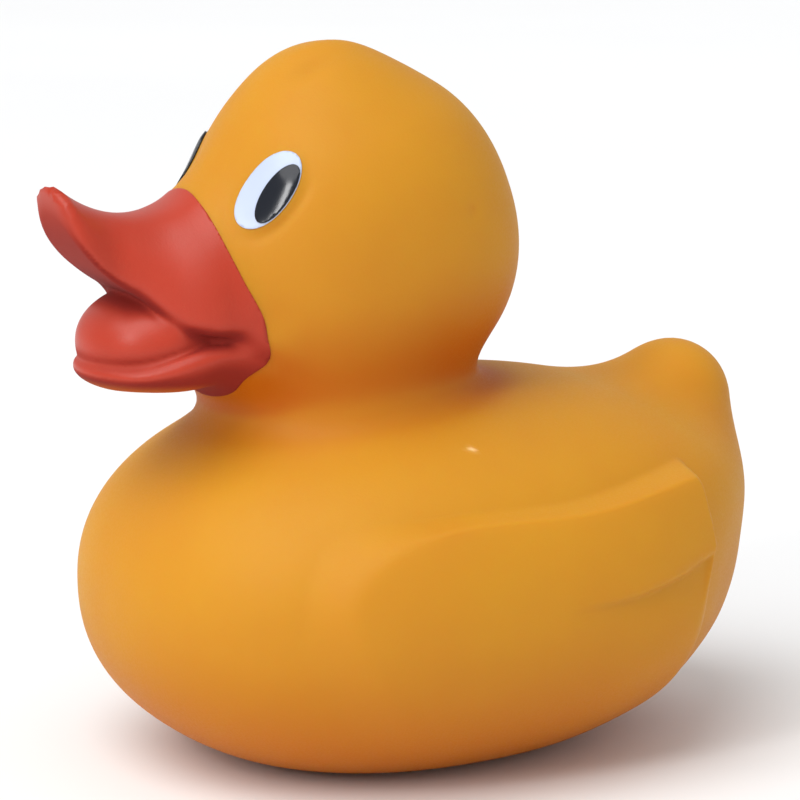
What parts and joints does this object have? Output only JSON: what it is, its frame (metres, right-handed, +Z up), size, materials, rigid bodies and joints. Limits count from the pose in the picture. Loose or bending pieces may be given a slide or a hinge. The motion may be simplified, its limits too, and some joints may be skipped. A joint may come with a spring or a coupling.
{
  "type": "rubber duck",
  "caption": "Hollow soft-vinyl bath duck with an open red bill, printed eyes, raised wings and an upturned tail, standing on a flat base.",
  "frame": {"origin": "centre of the flat base, on its surface", "axes": "+Z up, the duck faces -Y, its own left is +X"},
  "size_m": [0.0932, 0.1219, 0.116],
  "materials": {
    "yellow_vinyl": "satin, softly translucent, orange in the shade",
    "red_bill_paint": "satin sprayed paint",
    "white_eye_print": "satin printed ink",
    "black_pupil_print": "gloss printed ink"
  },
  "bodies": {
    "root": {"duck": "yellow_vinyl"}
  },
  "joints": []
}
